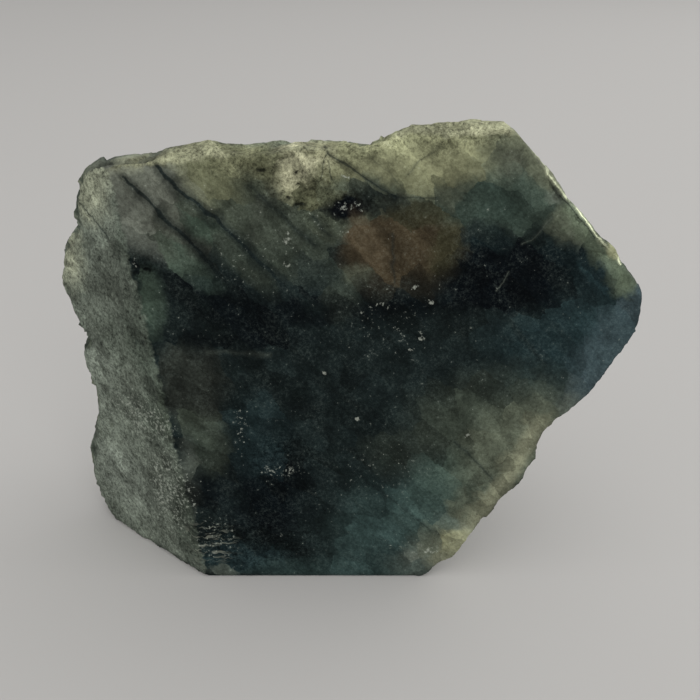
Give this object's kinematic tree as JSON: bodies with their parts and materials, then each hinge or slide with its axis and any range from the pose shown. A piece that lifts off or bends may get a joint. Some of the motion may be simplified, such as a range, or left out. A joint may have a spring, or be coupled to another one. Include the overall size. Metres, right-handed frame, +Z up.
{
  "type": "rough labradorite chunk",
  "caption": "Rough chunk of labradorite feldspar with a sawn front and base and broken, layered sides, standing on its base as a display mineral.",
  "frame": {"origin": "middle of the underside of the bounding box, on the surface that the chunk stands on", "axes": "+X from left to right across the sawn front, +Y from the sawn front to the broken back, +Z up"},
  "size_m": [0.12, 0.0492, 0.0975],
  "materials": {
    "labradorite": "sawn and rubbed smooth in front, granular and broken elsewhere"
  },
  "bodies": {
    "root": {"labradorite_chunk": "labradorite"}
  },
  "joints": []
}
